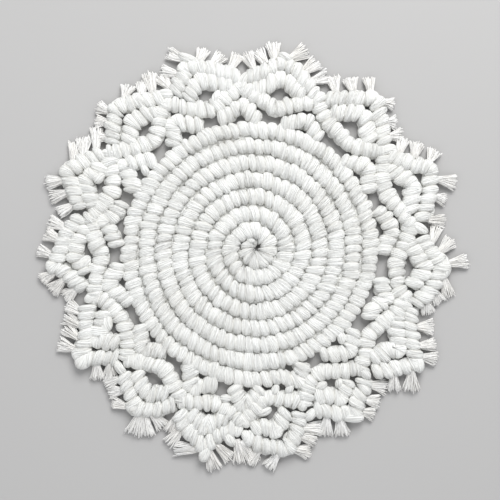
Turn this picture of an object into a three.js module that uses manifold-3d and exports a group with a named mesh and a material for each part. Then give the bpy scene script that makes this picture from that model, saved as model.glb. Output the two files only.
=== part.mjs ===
// A round macrame placemat, knotted from white single-strand cotton cord in rows of double half hitches.
// One long row winds outwards in a spiral and makes the centre. Fourteen small chevrons stand against its
// edge, and between them lie fourteen scallops: diamonds of three rows round an eyelet, with a short fringe.
// Millimetres, +Z up. The mat lies flat on z = 0, and plan coordinates are seen from above.
import * as THREE from "three";
import { mergeVertices } from "three/addons/utils/BufferGeometryUtils.js";
import Module from "manifold-3d";

// Driving dimensions of the rows of knots.
const ROW_WIDTH = 11.4;
const ROW_HEIGHT = 10;
const GAP = 0.3;
// Faces that lie within this distance of one plane are joined to one.
const MERGE_WITHIN = 0.02;
// How far a row runs on past its last corner point, under the row that it meets.
const OVERRUN = 3;
// Sides of the round knot at a corner of a row.
const CORNER_SIDES = 12;

// The centre: a spiral row whose middle line is one pitch further out after each turn. It winds
// anticlockwise, about a middle that wanders from the first point to the last.
const SPIRAL = {
  pitch: 11.7,
  turns: 7.67,
  endAngle: -75,
  middle: [2.9, 8.7],
  lastMiddle: [1.5, 6.35],
  grooveDepth: 4.5,
  grooveWidth: 6,
  stepsPerTurn: 24,
  pinchRadius: 6,
};

// The fringe: flat tufts that widen towards their cut ends, carried by a narrow spine along the rim.
const FRINGE = { height: 4, rootOffset: 4.5, rootWidth: 4.5, endWidth: 7.5, spineWidth: 2.5 };

// The scallops, clockwise from the one at the top. Each runs from the join with its left neighbour
// to its own join with the next. Corner points of the rows, in plan:
//   join       where its lower row ends and the next scallop's begins
//   inward     the corner of its lower row, next to the centre
//   eye        foot, apex and foot of the inner row, which closes the eyelet
//   rim        foot, tip and foot of the rim row
//   chevron    foot, apex and foot of the chevron under the join
//   eyeletFilled   set where larger knots all but close the eyelet
// Each tuft of the fringe, along the first and then the second leg of the rim, is a row of
//   share of the leg, lean from square in degrees, anticlockwise positive, and length
const SCALLOPS = [
  {
    join: [48.5, 107.5],
    inward: [15, 104],
    eye: [[0.5, 116], [20.5, 124], [38, 112]],
    rim: [[-3, 125.5], [20, 134.5], [45, 114]],
    chevron: [[22, 93], [38, 96.5], [46, 84]],
    fringeFrom: [[0, -30, 11.5], [0.6, 0, 9], [0.85, -20, 10.5]],
    fringeTo: [[0.05, -15, 13.5], [0.45, -15, 13], [0.7, -35, 17.5], [0.9, -60, 14.5]],
  },
  {
    join: [90.5, 74],
    inward: [63, 82],
    eye: [[54.5, 100], [76, 100], [80.5, 80]],
    rim: [[51.5, 110.5], [85.5, 111], [92, 79.5]],
    chevron: [[64, 69], [79.5, 64], [80, 47]],
    fringeFrom: [[0.55, 10, 9.5], [0.9, 5, 9]],
    fringeTo: [[0.1, -20, 7], [0.55, -10, 6], [0.85, -5, 8]],
  },
  {
    join: [109.5, 23],
    inward: [93, 43],
    eye: [[92.5, 62], [112, 53], [109.5, 31.5]],
    rim: [[95, 71], [126.5, 63], [118.5, 28.5]],
    chevron: [[88.5, 29], [100.5, 20], [91, 4]],
    fringeFrom: [[0.2, -5, 9.5], [0.55, 0, 9], [0.9, -15, 7.5]],
    fringeTo: [[0.2, 0, 12.5], [0.55, -5, 8], [0.95, 10, 10]],
  },
  {
    join: [107.5, -30.5],
    inward: [100, -5],
    eye: [[107.5, 12.5], [119.5, -6], [108.5, -23.5]],
    rim: [[112, 20.5], [132.5, -3.5], [118.5, -27]],
    chevron: [[89.5, -13], [96, -27.5], [81.5, -38]],
    fringeFrom: [[0.1, -40, 14], [0.75, 0, 10.5], [1.1, -30, 11]],
    fringeTo: [[0.25, -40, 15], [0.75, -25, 9.5], [1.05, -55, 9.5]],
  },
  {
    join: [75, -76.5],
    inward: [83, -51],
    eye: [[98.5, -38], [102, -65.5], [82, -69]],
    rim: [[108.5, -32.5], [114.5, -71], [85, -79.5]],
    chevron: [[70.5, -54.5], [67.5, -67], [49, -65]],
    fringeFrom: [[0.35, -15, 9.5], [0.7, 0, 9], [0.9, -15, 9]],
    fringeTo: [[0.15, -10, 13.5], [0.55, -10, 10.5]],
  },
  {
    join: [37.5, -100.5],
    inward: [46, -78.5],
    eye: [[67, -83.5], [64, -96.5], [43.5, -93]],
    rim: [[78.5, -80], [74, -105.5], [42, -105]],
    chevron: [[34.5, -74], [34.5, -84], [24, -83.5]],
    fringeFrom: [[0.2, -20, 11], [0.65, -10, 8], [1.05, -5, 5]],
    fringeTo: [[0.4, 15, 11], [0.7, 0, 12]],
  },
  {
    join: [-7, -112.5],
    inward: [9.5, -97.5],
    eye: [[25, -105], [18.5, -118.5], [0.5, -117.5]],
    rim: [[32.5, -106.5], [27, -130.5], [-3, -124]],
    chevron: [[4, -91], [-7, -103], [-14.5, -89]],
    fringeFrom: [[0.35, 15, 13.5], [0.55, 0, 11.5], [1, 0, 10]],
    fringeTo: [[0.25, -20, 11.5], [0.6, -20, 12], [1.05, 10, 15.5]],
  },
  {
    join: [-49.5, -98],
    inward: [-24, -98.5],
    eyeletFilled: true,
    eye: [[-18, -112.5], [-33, -119.5], [-41.5, -107]],
    rim: [[-13, -118], [-33, -132], [-48.5, -108.5]],
    chevron: [[-26, -86], [-42, -89.5], [-43.5, -73]],
    fringeFrom: [[0.7, 25, 12.5], [0.95, -15, 12.5]],
    fringeTo: [[0.1, -35, 14], [0.75, 15, 14], [1.05, 35, 10]],
  },
  {
    join: [-87, -68.5],
    inward: [-59.5, -77.5],
    eye: [[-58, -92.5], [-75, -93], [-78.5, -77.5]],
    rim: [[-56.5, -100.5], [-82, -103.5], [-88.5, -79.5]],
    chevron: [[-61.5, -63.5], [-76.5, -63], [-77.5, -47.5]],
    fringeFrom: [[0.55, 30, 12], [0.65, 0, 15], [0.85, -30, 13.5]],
    fringeTo: [[0.1, -30, 9], [0.55, -10, 8.5], [0.9, 5, 9.5]],
  },
  {
    join: [-108.5, -23],
    inward: [-88.5, -40.5],
    eyeletFilled: true,
    eye: [[-92.5, -58], [-106.5, -56], [-100.5, -36.5]],
    rim: [[-94, -67.5], [-118.5, -69], [-113, -34.5]],
    chevron: [[-85, -29.5], [-99.5, -18.5], [-92.5, -5]],
    fringeFrom: [[0.2, -5, 10.5], [0.55, 0, 9.5]],
    fringeTo: [[0.15, -5, 10.5], [0.35, -30, 9.5], [0.6, -20, 10], [0.85, -15, 10.5]],
  },
  {
    join: [-112.5, 27.5],
    inward: [-104, 1.5],
    eyeletFilled: true,
    eye: [[-114, -11.5], [-125.5, 1.5], [-114, 19.5]],
    rim: [[-114.5, -20], [-139.5, -5], [-118.5, 25.5]],
    chevron: [[-93, 10.5], [-104, 23], [-90.5, 37.5]],
    fringeFrom: [[0.15, -15, 9.5], [0.5, 0, 9.5], [0.85, -25, 9]],
    fringeTo: [[0.15, 10, 8], [0.5, 5, 10], [0.85, 5, 13]],
  },
  {
    join: [-98.5, 74],
    inward: [-96, 46],
    eye: [[-108.5, 35], [-114.5, 56], [-104, 65]],
    rim: [[-117.5, 34.5], [-129.5, 60.5], [-107, 72.5]],
    chevron: [[-85, 49], [-89, 65], [-71, 69.5]],
    fringeFrom: [[0.15, 5, 10.5], [0.55, -5, 11.5], [0.9, -15, 11]],
    fringeTo: [[0.25, -30, 12], [0.55, -25, 12], [0.9, -25, 14]],
  },
  {
    join: [-59.5, 107.5],
    inward: [-69.5, 80],
    eye: [[-85, 80], [-83, 95], [-65, 100.5]],
    rim: [[-96.5, 80], [-94.5, 105], [-61.5, 111]],
    chevron: [[-54.5, 80], [-54.5, 95], [-36, 92.5]],
    fringeFrom: [[0.15, 0, 7.5], [0.55, -5, 8], [0.85, -20, 7.5]],
    fringeTo: [[0.2, -25, 9], [0.55, -15, 9], [0.8, 0, 13.5]],
  },
  {
    join: [-7.5, 118.5],
    inward: [-29, 102],
    eye: [[-45, 109.5], [-37.5, 123], [-14.5, 119.5]],
    rim: [[-53, 114.5], [-45, 134], [-9, 125]],
    chevron: [[-21.5, 96.5], [-8.5, 107.5], [3.5, 96.5]],
    fringeFrom: [[0.1, -30, 10], [0.65, 10, 9.5], [1.1, -10, 9]],
    fringeTo: [[0.2, -10, 9.5], [0.45, -30, 10], [0.8, -15, 11]],
  },
];

const wasm = await Module();
wasm.setup();

// A closed geometry as a solid that can be joined and cut.
function solidOf(geometry) {
  geometry.deleteAttribute("normal");
  geometry.deleteAttribute("uv");
  const merged = mergeVertices(geometry, 1e-4);
  return new wasm.Manifold(
    new wasm.Mesh({
      numProp: 3,
      vertProperties: merged.attributes.position.array,
      triVerts: new Uint32Array(merged.index.array),
    }),
  );
}

function join(solids) {
  return solids.reduce((whole, next) => whole.add(next));
}

// A solid cut clear of its neighbours. Scraps that a neighbour cuts off are left out.
function clearOf(solid, neighbours) {
  const cut = neighbours.reduce((left, next) => left.subtract(next), solid);
  return cut.decompose().reduce((most, piece) => (piece.volume() > most.volume() ? piece : most));
}

// A finished solid as a named mesh of white cotton.
function meshOf(name, solid) {
  const { vertProperties, triVerts } = solid.asOriginal().simplify(MERGE_WITHIN).getMesh();
  const geometry = new THREE.BufferGeometry();
  geometry.setAttribute("position", new THREE.BufferAttribute(new Float32Array(vertProperties), 3));
  geometry.setIndex(new THREE.BufferAttribute(new Uint32Array(triVerts), 1));
  const flat = geometry.toNonIndexed();
  flat.computeVertexNormals();
  const cotton = new THREE.MeshStandardMaterial({ color: 0xf4f4f0, roughness: 0.95, metalness: 0 });
  const mesh = new THREE.Mesh(flat, cotton);
  mesh.name = name;
  return mesh;
}

const plan = ([x, y]) => new THREE.Vector2(x, y);

// A row of knots has a flat sole and a rounded top. The space that neighbours leave to it has upright
// sides, one gap away. Each is given by half of its section, as points of distance to the side and height.
const KNOTS = {
  margin: 0,
  half: [
    [0.4 * ROW_WIDTH, 0],
    [0.5 * ROW_WIDTH, 0.4 * ROW_HEIGHT],
    [0.22 * ROW_WIDTH, ROW_HEIGHT],
  ],
};
const SPACE = {
  margin: GAP,
  half: [
    [ROW_WIDTH / 2 + GAP, -1],
    [ROW_WIDTH / 2 + GAP, ROW_HEIGHT + 1],
  ],
};

// The section turned for an extrusion along a level line, which lays the shape's x downwards and its y
// to the left.
function sectionOf(half) {
  const right = half.map(([side, height]) => new THREE.Vector2(-height, -side));
  const left = half.map(([side, height]) => new THREE.Vector2(-height, side)).reverse();
  return new THREE.Shape([...right, ...left]);
}

// A straight stretch of row, lengthened at its start and its end.
function bar(start, end, half, startExtra, endExtra) {
  const along = end.clone().sub(start).normalize();
  const from = start.clone().addScaledVector(along, -startExtra);
  const to = end.clone().addScaledVector(along, endExtra);
  const line = new THREE.LineCurve3(new THREE.Vector3(from.x, from.y, 0), new THREE.Vector3(to.x, to.y, 0));
  return solidOf(new THREE.ExtrudeGeometry(sectionOf(half), { steps: 1, extrudePath: line }));
}

// The round knot at a corner of a row: the same half section, turned about an upright axis. Its sides
// are drawn round the circle, so that none of them lies inside the width of the row.
function cornerKnot(point, half) {
  const bottom = [0, half[0][1]];
  const top = [0, half[half.length - 1][1]];
  const geometry = new THREE.LatheGeometry([bottom, ...half, top].map(plan), CORNER_SIDES);
  const around = 1 / Math.cos(Math.PI / CORNER_SIDES);
  geometry.rotateX(Math.PI / 2);
  geometry.scale(around, around, 1);
  geometry.translate(point.x, point.y, 0);
  return solidOf(geometry);
}

// One row along its corner points, as knots or as the space for them: straight bars with a round knot
// at each corner, which overrun both ends of the row.
function row(corners, { half, margin }, overrun) {
  const points = corners.map(plan);
  const last = points.length - 1;
  const extra = (k) => (k === 0 || k === last ? overrun + margin : 0);
  const bars = points.slice(1).map((end, k) => bar(points[k], end, half, extra(k), extra(k + 1)));
  const knots = points.slice(1, last).map((point) => cornerKnot(point, half));
  return join([...bars, ...knots]);
}

// An upright prism over an outline in plan.
function prism(outline, bottom, top) {
  const shape = new THREE.Shape(outline);
  const geometry = new THREE.ExtrudeGeometry(shape, { depth: top - bottom, bevelEnabled: false });
  geometry.translate(0, 0, bottom);
  return solidOf(geometry);
}

// A point of the spiral: its number of turns from the start gives the angle, and its radius in
// pitches may lie beside the middle line. The middle of the turns wanders a little on the way out.
function spiralPoint(turns, pitches = turns) {
  const angle = THREE.MathUtils.degToRad(SPIRAL.endAngle + 360 * (turns - SPIRAL.turns));
  const radius = SPIRAL.pitch * pitches;
  const middle = plan(SPIRAL.middle).lerp(plan(SPIRAL.lastMiddle), turns / SPIRAL.turns);
  return middle.add(new THREE.Vector2(Math.cos(angle), Math.sin(angle)).multiplyScalar(radius));
}

// The valley between one turn of the spiral and the next, half a pitch inside the middle line. It runs
// on for a turn past the end of the row, along the outer edge.
class Valley extends THREE.Curve {
  getPoint(share, target = new THREE.Vector3()) {
    const turns = THREE.MathUtils.lerp(1.1, SPIRAL.turns + 1, share);
    const { x, y } = spiralPoint(turns, turns - 0.5);
    return target.set(x, y, ROW_HEIGHT);
  }
}

// The outline of the centre in plan: the outer edge of the last turn, moved out and on by grow.
function spiralOutline(grow) {
  const steps = 2 * SPIRAL.stepsPerTurn;
  const last = SPIRAL.turns + grow / (2 * Math.PI * SPIRAL.pitch * SPIRAL.turns);
  return Array.from({ length: steps + 1 }, (_, k) => {
    const turns = last - 1 + k / steps;
    return spiralPoint(turns, turns + 0.5 + grow / SPIRAL.pitch);
  });
}

// The centre: a thick disc of that outline, with the valley cut into its top. The pinch in the
// middle is where the first knots draw together.
function centreSolid() {
  const disc = prism(spiralOutline(0), 0, ROW_HEIGHT);
  const { grooveDepth: deep, grooveWidth: wide } = SPIRAL;
  const above = 1;
  const spread = (wide / 2) * (1 + above / deep);
  const groove = new THREE.Shape([
    new THREE.Vector2(deep, 0),
    new THREE.Vector2(-above, spread),
    new THREE.Vector2(-above, -spread),
  ]);
  const steps = Math.round(SPIRAL.turns * SPIRAL.stepsPerTurn);
  const valley = solidOf(new THREE.ExtrudeGeometry(groove, { steps, extrudePath: new Valley() }));
  const pinch = new THREE.ConeGeometry(SPIRAL.pinchRadius, 2 * deep, 12);
  pinch.rotateX(-Math.PI / 2);
  pinch.translate(SPIRAL.middle[0], SPIRAL.middle[1], ROW_HEIGHT);
  return disc.subtract(valley).subtract(solidOf(pinch));
}

// The three rows of a scallop, and the knots that may fill its eyelet. The lower row starts at the
// join with the left neighbour.
function scallopRows(scallop, left, kind) {
  const rows = [
    row([left.join, scallop.inward, scallop.join], kind, OVERRUN),
    row(scallop.eye, kind, OVERRUN),
    row(scallop.rim, kind, OVERRUN),
  ];
  const apex = scallop.eye[1];
  return join(scallop.eyeletFilled ? [...rows, row([scallop.inward, apex], kind, 0)] : rows);
}

// The wedge of plan between the joins at both ends of a scallop, half a gap inside each.
function sector(left, scallop) {
  const first = plan(left.join).normalize();
  const last = plan(scallop.join).normalize();
  const bisector = first.clone().add(last).normalize();
  const halfAngle = Math.acos(bisector.dot(first));
  const apex = bisector.multiplyScalar(GAP / 2 / Math.sin(halfAngle));
  const reach = 250;
  const outline = [apex, last.multiplyScalar(reach).add(apex), first.multiplyScalar(reach).add(apex)];
  return prism(outline, -1, ROW_HEIGHT + 1);
}

// The square outward direction of a leg of the rim, which runs clockwise round the mat.
function outward(start, end) {
  const along = end.clone().sub(start).normalize();
  return new THREE.Vector2(-along.y, along.x);
}

// A tuft in plan: from its root beside the middle line of the leg, widening to its cut end.
function tuft(start, end, [share, lean, length], grow) {
  const square = outward(start, end);
  const root = start.clone().lerp(end, share).addScaledVector(square, FRINGE.rootOffset);
  const along = square.clone().rotateAround(new THREE.Vector2(), THREE.MathUtils.degToRad(lean));
  const side = new THREE.Vector2(-along.y, along.x);
  const corner = (distance, across) =>
    root.clone().addScaledVector(along, distance).addScaledVector(side, across);
  const rootHalf = FRINGE.rootWidth / 2 + grow;
  const endHalf = FRINGE.endWidth / 2 + grow;
  const outline = [
    corner(-grow, rootHalf),
    corner(-grow, -rootHalf),
    corner(length + grow, -endHalf),
    corner(length + grow, endHalf),
  ];
  return prism(outline, -grow, FRINGE.height + grow);
}

// The spine that carries the tufts: a strip beside the rim row, round its tip.
function spine([foot, tip, end], grow) {
  const first = outward(foot, tip);
  const second = outward(tip, end);
  const corner = first.clone().add(second).divideScalar(1 + first.dot(second));
  const start = foot.clone().add(foot.clone().sub(tip).setLength(grow));
  const finish = end.clone().add(end.clone().sub(tip).setLength(grow));
  const near = FRINGE.rootOffset;
  const far = ROW_WIDTH / 2 + GAP + FRINGE.spineWidth + grow;
  const outline = [
    start.clone().addScaledVector(first, near),
    tip.clone().addScaledVector(corner, near),
    finish.clone().addScaledVector(second, near),
    finish.clone().addScaledVector(second, far),
    tip.clone().addScaledVector(corner, far),
    start.clone().addScaledVector(first, far),
  ];
  return prism(outline, -grow, FRINGE.height + grow);
}

function fringe(scallop, grow = 0) {
  const [foot, tip, end] = scallop.rim.map(plan);
  const first = scallop.fringeFrom.map((values) => tuft(foot, tip, values, grow));
  const second = scallop.fringeTo.map((values) => tuft(tip, end, values, grow));
  return join([spine([foot, tip, end], grow), ...first, ...second]);
}

const count = SCALLOPS.length;
const after = (k) => (k + 1) % count;
const before = (k) => (k + count - 1) % count;

const centre = centreSolid();
const centreSpace = prism(spiralOutline(GAP), -1, ROW_HEIGHT + 1);
const chevronSpaces = SCALLOPS.map(({ chevron }) => row(chevron, SPACE, OVERRUN));
const scallopSpaces = SCALLOPS.map((scallop, k) => scallopRows(scallop, SCALLOPS[before(k)], SPACE));
const fringeSpaces = SCALLOPS.map((scallop) => fringe(scallop, GAP));

const placemat = new THREE.Group();
placemat.add(meshOf("centre_spiral", centre));

SCALLOPS.forEach((scallop, k) => {
  const number = String(k + 1).padStart(2, "0");
  const left = SCALLOPS[before(k)];

  const chevron = clearOf(row(scallop.chevron, KNOTS, OVERRUN), [centreSpace]);
  placemat.add(meshOf(`chevron_${number}`, chevron));

  const diamond = scallopRows(scallop, left, KNOTS).intersect(sector(left, scallop));
  const inside = [centreSpace, chevronSpaces[before(k)], chevronSpaces[k]];
  placemat.add(meshOf(`diamond_${number}`, clearOf(diamond, inside)));

  // Where tufts of two scallops cross, the one that comes first in the table keeps the space.
  const earlier = [before(k), after(k)].filter((other) => other < k).map((other) => fringeSpaces[other]);
  const rows = [before(k), k, after(k)].map((other) => scallopSpaces[other]);
  placemat.add(meshOf(`fringe_${number}`, clearOf(fringe(scallop), [...rows, ...earlier])));
});

export default placemat;
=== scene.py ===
"""A round macrame placemat of white single-strand cotton cord, knotted in rows of double half hitches.

Every wrap of the cord is a plump bead, and a row of them is one closed surface carried along the line of
its filler cord. One long spiral row makes the centre, small chevrons stand round it, and diamonds of three
rows round an eyelet make the scallops of the border, with the cut ends of the cord fanned out as a fringe.
Tables and shapes are in millimetres, +Z up, seen from above. The mat lies on z = 0.
"""

import bpy
import numpy as np
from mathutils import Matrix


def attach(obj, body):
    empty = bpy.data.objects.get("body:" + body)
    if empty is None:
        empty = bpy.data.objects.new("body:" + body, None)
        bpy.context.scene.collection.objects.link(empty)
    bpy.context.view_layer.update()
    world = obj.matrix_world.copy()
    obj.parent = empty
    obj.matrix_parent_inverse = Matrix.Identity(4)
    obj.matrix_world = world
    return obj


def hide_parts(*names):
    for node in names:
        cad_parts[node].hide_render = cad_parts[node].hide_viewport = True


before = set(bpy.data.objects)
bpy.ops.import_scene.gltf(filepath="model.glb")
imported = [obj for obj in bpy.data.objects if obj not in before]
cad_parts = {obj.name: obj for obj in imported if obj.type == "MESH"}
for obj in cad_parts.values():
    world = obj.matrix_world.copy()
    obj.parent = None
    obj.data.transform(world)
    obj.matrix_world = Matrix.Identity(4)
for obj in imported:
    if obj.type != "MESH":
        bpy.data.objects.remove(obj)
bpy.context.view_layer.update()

MM = 0.001

# The centre is one row that winds outwards from the middle to its last turn, which ends at the end angle, and
# its middle line is one pitch further out after each turn. The knots of the first turn all reach in to the
# pinch, the middle of a slit that lies a little beside the middle of the turns.
#   middle, pinch      the middle of the turns, and of the slit
#   slit               half of the slit, as a step along it
#   slit_half_width    how far it opens to each side
#   drawn_in           the turn up to which the row's inner edge is drawn in to the slit
#   eased              the turns over which that fades
#   crowded_knots      how many knots are crowded at the start of the row
#   valley_from        the turn from which low cords cross under the valley between two turns
#   heart              the low knot in the middle: place, length along the wrap, width, turn in degrees
#   points, step       the points worked out for each turn, and their final distance
SPIRAL = {
    "pitch": 11.7, "first_turn": 0.12, "turns": 7.67, "end_angle": -75, "middle": (1.5, 6.4),
    "pinch": (3.1, 8.3), "slit": (0.8, -2.2), "slit_half_width": 1.0, "drawn_in": 0.7, "eased": 0.5,
    "crowded_knots": 7, "valley_from": 1.35, "heart": ((0.5, 11.5), 9, 7, 30), "points": 700, "step": 0.4,
}

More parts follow.
